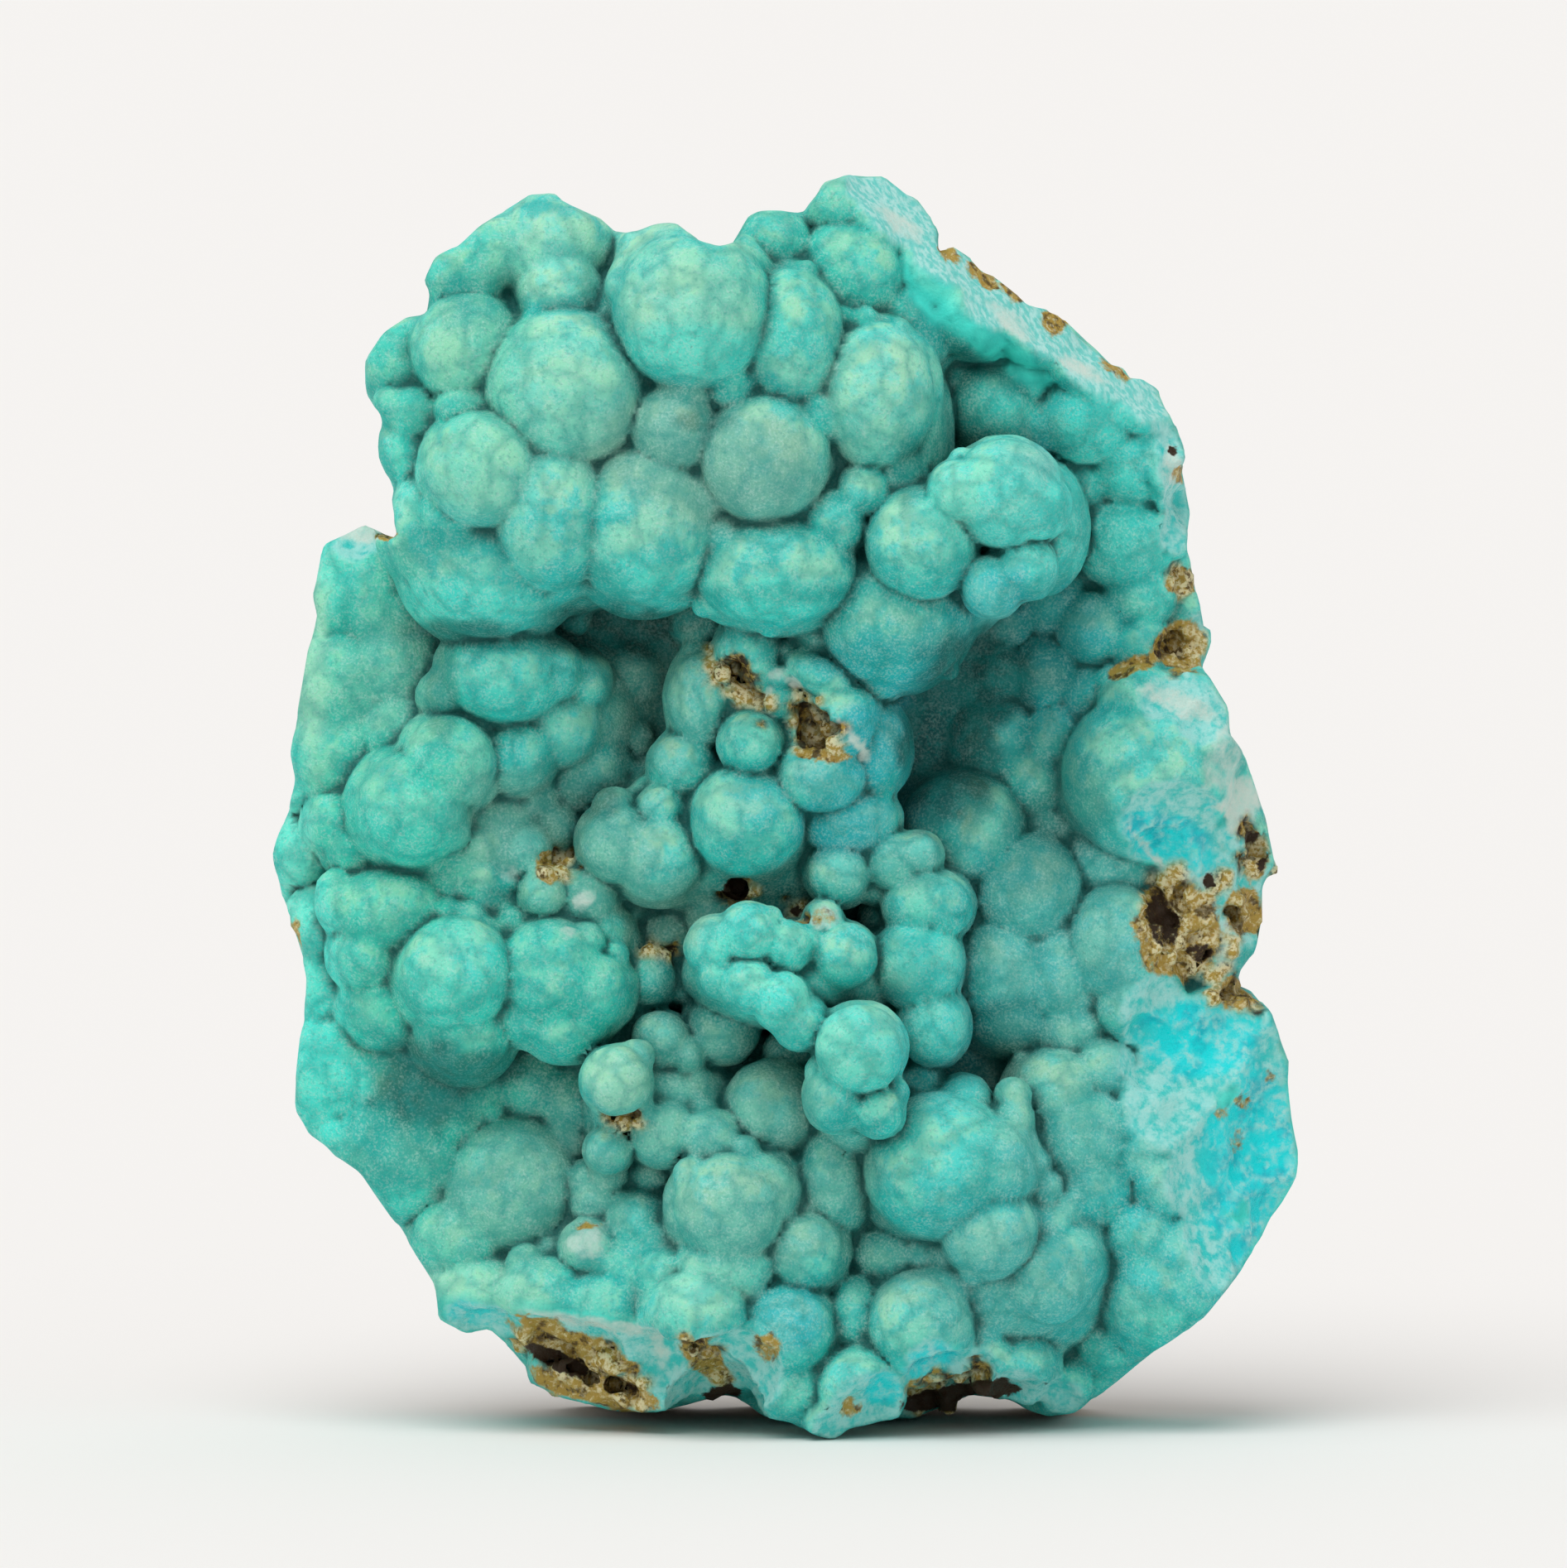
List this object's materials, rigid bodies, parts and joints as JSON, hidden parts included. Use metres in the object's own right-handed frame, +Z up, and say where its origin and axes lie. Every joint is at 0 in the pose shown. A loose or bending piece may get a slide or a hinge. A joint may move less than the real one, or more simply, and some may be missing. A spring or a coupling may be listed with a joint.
{
  "type": "blue aragonite specimen",
  "caption": "Botryoidal hand specimen of blue aragonite: grape-like turquoise lumps and beaded chains on a broken, rust-stained body that stands on its lower edge.",
  "frame": {"origin": "on the floor, under the middle of the specimen's box", "axes": "+Z up along the height, +X along the width, -Y towards the grape-like face"},
  "size_m": [0.0983, 0.0477, 0.1219],
  "materials": {
    "blue_aragonite": "natural botryoidal crust with a fine sugary druse, pale on the crowns and deep teal in the creases, with rusty brown patches on the breaks"
  },
  "bodies": {
    "root": {"blue_aragonite": "blue_aragonite"}
  },
  "joints": []
}
